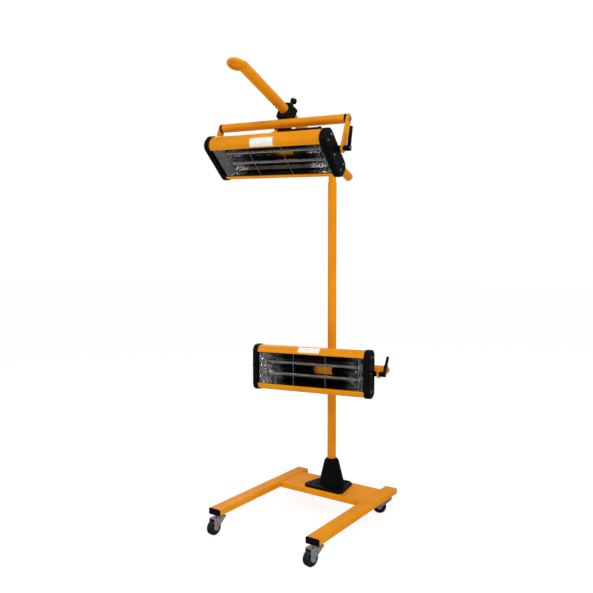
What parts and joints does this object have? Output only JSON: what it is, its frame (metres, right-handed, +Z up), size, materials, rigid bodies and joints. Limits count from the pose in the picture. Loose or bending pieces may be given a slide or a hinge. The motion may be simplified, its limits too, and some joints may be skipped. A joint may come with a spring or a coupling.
{
  "type": "infrared paint curing lamp",
  "caption": "Wheeled U-shaped base with a column, a height-adjustable boom and infrared lamp heads on tilting yokes that slide on column and boom.",
  "frame": {"origin": "on the floor under the column's axis, between the side rails", "axes": "+Z up; -Y towards the open front of the base; +X to the right of the lamp seen from its front-facing operator side (rail_right)"},
  "size_m": [0.5426, 0.7893, 1.5104],
  "materials": {
    "rail_left": "gloss",
    "rail_right": "gloss",
    "cross_plate": "gloss",
    "column_tube": "gloss",
    "boom_tube": "gloss",
    "boom_nose": "gloss",
    "boom_plug": "satin",
    "column_mast": "gloss",
    "column_socket": "gloss",
    "boom_head": "satin",
    "column_skirt": "satin",
    "rail_plugs": "satin",
    "height_knob": "satin",
    "boom_lever": "satin",
    "caster_stems": "zinc plated",
    "foot_bolts": "black oxide",
    "caster_fork_front_left": "zinc plated",
    "caster_fork_front_right": "zinc plated",
    "caster_fork_rear_left": "zinc plated",
    "caster_fork_rear_right": "zinc plated",
    "caster_wheel_front_left": "satin",
    "caster_wheel_front_right": "satin",
    "caster_wheel_rear_left": "satin",
    "caster_wheel_rear_right": "satin",
    "lower_yoke_bar": "gloss",
    "lower_leg_left": "gloss",
    "lower_leg_right": "gloss",
    "lower_housing": "gloss",
    "lower_clamp_block": "satin",
    "lower_clamp_knob": "satin",
    "lower_bar_plugs": "satin",
    "lower_cap_left": "satin",
    "lower_cap_right": "satin",
    "lower_tilt_lever": "satin",
    "lower_terminal_box": "satin",
    "lower_yoke_bolt": "zinc plated",
    "lower_leg_bolts": "zinc plated",
    "lower_cap_screws": "zinc plated",
    "lower_reflector": "bright",
    "lower_quartz_tubes": "clear, amber tinted",
    "lower_tube_holders": "matt ceramic",
    "lower_guard": "bright wire",
    "upper_yoke_bar": "gloss",
    "upper_leg_left": "gloss",
    "upper_leg_right": "gloss",
    "upper_housing": "gloss",
    "upper_clamp_block": "satin",
    "upper_clamp_knob": "satin",
    "upper_bar_plugs": "satin",
    "upper_cap_left": "satin",
    "upper_cap_right": "satin",
    "upper_tilt_lever": "satin",
    "upper_terminal_box": "satin",
    "upper_yoke_bolt": "zinc plated",
    "upper_leg_bolts": "zinc plated",
    "upper_cap_screws": "zinc plated",
    "upper_reflector": "bright",
    "upper_quartz_tubes": "clear, amber tinted",
    "upper_tube_holders": "matt ceramic",
    "upper_guard": "bright wire"
  },
  "bodies": {
    "base": {"rail_left": "rail_left", "rail_right": "rail_right", "cross_plate": "cross_plate", "rail_plugs": "rail_plugs", "column_socket": "column_socket", "column_skirt": "column_skirt", "foot_bolts": "foot_bolts", "column_tube": "column_tube", "caster_stems": "caster_stems"},
    "fork_front_left": {"caster_fork_front_left": "caster_fork_front_left"},
    "wheel_front_left": {"caster_wheel_front_left": "caster_wheel_front_left"},
    "fork_front_right": {"caster_fork_front_right": "caster_fork_front_right"},
    "wheel_front_right": {"caster_wheel_front_right": "caster_wheel_front_right"},
    "fork_rear_left": {"caster_fork_rear_left": "caster_fork_rear_left"},
    "wheel_rear_left": {"caster_wheel_rear_left": "caster_wheel_rear_left"},
    "fork_rear_right": {"caster_fork_rear_right": "caster_fork_rear_right"},
    "wheel_rear_right": {"caster_wheel_rear_right": "caster_wheel_rear_right"},
    "mast": {"column_mast": "column_mast"},
    "height_knob": {"height_knob": "height_knob"},
    "boom_head": {"boom_head": "boom_head"},
    "boom": {"boom_tube": "boom_tube", "boom_nose": "boom_nose", "boom_plug": "boom_plug"},
    "boom_lever": {"boom_lever": "boom_lever"},
    "lower_clamp": {"lower_clamp_block": "lower_clamp_block"},
    "lower_clamp_knob": {"lower_clamp_knob": "lower_clamp_knob"},
    "lower_yoke": {"lower_yoke_bolt": "lower_yoke_bolt", "lower_yoke_bar": "lower_yoke_bar", "lower_bar_plugs": "lower_bar_plugs"},
    "lower_legs": {"lower_leg_left": "lower_leg_left", "lower_leg_right": "lower_leg_right", "lower_leg_bolts": "lower_leg_bolts"},
    "lower_lamp": {"lower_housing": "lower_housing", "lower_cap_left": "lower_cap_left", "lower_cap_right": "lower_cap_right", "lower_cap_screws": "lower_cap_screws", "lower_reflector": "lower_reflector", "lower_quartz_tubes": "lower_quartz_tubes", "lower_tube_holders": "lower_tube_holders", "lower_guard": "lower_guard", "lower_terminal_box": "lower_terminal_box"},
    "lower_tilt_lever": {"lower_tilt_lever": "lower_tilt_lever"},
    "upper_clamp": {"upper_clamp_block": "upper_clamp_block"},
    "upper_clamp_knob": {"upper_clamp_knob": "upper_clamp_knob"},
    "upper_yoke": {"upper_yoke_bolt": "upper_yoke_bolt", "upper_yoke_bar": "upper_yoke_bar", "upper_bar_plugs": "upper_bar_plugs"},
    "upper_legs": {"upper_leg_left": "upper_leg_left", "upper_leg_right": "upper_leg_right", "upper_leg_bolts": "upper_leg_bolts"},
    "upper_lamp": {"upper_housing": "upper_housing", "upper_cap_left": "upper_cap_left", "upper_cap_right": "upper_cap_right", "upper_cap_screws": "upper_cap_screws", "upper_reflector": "upper_reflector", "upper_quartz_tubes": "upper_quartz_tubes", "upper_tube_holders": "upper_tube_holders", "upper_guard": "upper_guard", "upper_terminal_box": "upper_terminal_box"},
    "upper_tilt_lever": {"upper_tilt_lever": "upper_tilt_lever"}
  },
  "joints": [
    {"name": "swivel_front_left", "type": "hinge", "parent": "base", "child": "fork_front_left", "pos_m": [-0.2, -0.409, 0.0575], "axis": [0, 0, 1], "continuous": true},
    {"name": "roll_front_left", "type": "hinge", "parent": "fork_front_left", "child": "wheel_front_left", "pos_m": [-0.20253, -0.43789, 0.025], "axis": [0.9962, -0.0872, 0], "continuous": true},
    {"name": "swivel_front_right", "type": "hinge", "parent": "base", "child": "fork_front_right", "pos_m": [0.2, -0.409, 0.0575], "axis": [0, 0, 1], "continuous": true},
    {"name": "roll_front_right", "type": "hinge", "parent": "fork_front_right", "child": "wheel_front_right", "pos_m": [0.19298, -0.43714, 0.025], "axis": [0.9703, -0.2419, 0], "continuous": true},
    {"name": "swivel_rear_left", "type": "hinge", "parent": "base", "child": "fork_rear_left", "pos_m": [-0.2, 0.071, 0.0575], "axis": [0, 0, 1], "continuous": true},
    {"name": "roll_rear_left", "type": "hinge", "parent": "fork_rear_left", "child": "wheel_rear_left", "pos_m": [-0.21864, 0.09322, 0.025], "axis": [-0.766, -0.6428, 0], "continuous": true},
    {"name": "swivel_rear_right", "type": "hinge", "parent": "base", "child": "fork_rear_right", "pos_m": [0.2, 0.071, 0.0575], "axis": [0, 0, 1], "continuous": true},
    {"name": "roll_rear_right", "type": "hinge", "parent": "fork_rear_right", "child": "wheel_rear_right", "pos_m": [0.17372, 0.05874, 0.025], "axis": [0.4226, -0.9063, 0], "continuous": true},
    {"name": "mast_height", "type": "slide", "parent": "base", "child": "mast", "axis": [0, 0, 1], "range_m": [-0.032, 0.23]},
    {"name": "height_knob_turn", "type": "hinge", "parent": "base", "child": "height_knob", "pos_m": [0, 0, 1.199], "axis": [-0.5736, 0.8192, 0], "continuous": true},
    {"name": "boom_turn", "type": "hinge", "parent": "mast", "child": "boom_head", "pos_m": [0, 0, 1.262], "axis": [0, 0, 1], "range_deg": [-170, 170]},
    {"name": "boom_pitch", "type": "hinge", "parent": "boom_head", "child": "boom", "pos_m": [0, 0, 1.314], "axis": [0.9962, 0.0872, 0], "range_deg": [-22, 30]},
    {"name": "boom_lever_turn", "type": "hinge", "parent": "boom_head", "child": "boom_lever", "pos_m": [0, 0, 1.314], "axis": [0.9962, 0.0872, 0], "range_deg": [-60, 60]},
    {"name": "lower_clamp_slide", "type": "slide", "parent": "base", "child": "lower_clamp", "axis": [0, 0, 1], "range_m": [-0.2, 0.45]},
    {"name": "lower_clamp_knob_turn", "type": "hinge", "parent": "lower_clamp", "child": "lower_clamp_knob", "pos_m": [0, 0, 0.5167], "axis": [-0.0262, 0.9997, 0], "continuous": true},
    {"name": "lower_yoke_turn", "type": "hinge", "parent": "lower_clamp", "child": "lower_yoke", "pos_m": [0.00141, -0.05398, 0.551], "axis": [0, 0, 1], "range_deg": [-31, 15]},
    {"name": "lower_legs_swing", "type": "hinge", "parent": "lower_yoke", "child": "lower_legs", "pos_m": [0.00141, -0.05398, 0.551], "axis": [0.9863, 0.165, 0], "range_deg": [-25, 25]},
    {"name": "lower_lamp_tilt", "type": "hinge", "parent": "lower_legs", "child": "lower_lamp", "pos_m": [0.01759, -0.15064, 0.551], "axis": [0.9863, 0.165, 0], "range_deg": [-50, 40]},
    {"name": "lower_tilt_lever_turn", "type": "hinge", "parent": "lower_legs", "child": "lower_tilt_lever", "pos_m": [0.01759, -0.15064, 0.551], "axis": [0.9863, 0.165, 0], "range_deg": [-120, 120]},
    {"name": "upper_clamp_slide", "type": "slide", "parent": "boom", "child": "upper_clamp", "axis": [0.0832, -0.9511, 0.2974], "range_m": [-0.08, 0.17]},
    {"name": "upper_clamp_knob_turn", "type": "hinge", "parent": "upper_clamp", "child": "upper_clamp_knob", "pos_m": [0.02771, -0.31673, 1.41303], "axis": [0.1646, 0.3074, 0.9372], "continuous": true},
    {"name": "upper_yoke_turn", "type": "hinge", "parent": "upper_clamp", "child": "upper_yoke", "pos_m": [0.02167, -0.36595, 1.37262], "axis": [0.0832, -0.9511, 0.2974], "range_deg": [-31, 15]},
    {"name": "upper_legs_swing", "type": "hinge", "parent": "upper_yoke", "child": "upper_legs", "pos_m": [0.03193, -0.36521, 1.3721], "axis": [0.9962, 0.0715, -0.05], "range_deg": [-25, 25]},
    {"name": "upper_lamp_tilt", "type": "hinge", "parent": "upper_legs", "child": "upper_lamp", "pos_m": [0.02936, -0.39465, 1.27866], "axis": [0.9962, 0.0715, -0.05], "range_deg": [-25, 60]},
    {"name": "upper_tilt_lever_turn", "type": "hinge", "parent": "upper_legs", "child": "upper_tilt_lever", "pos_m": [0.02936, -0.39465, 1.27866], "axis": [0.9962, 0.0715, -0.05], "range_deg": [-120, 120]}
  ]
}
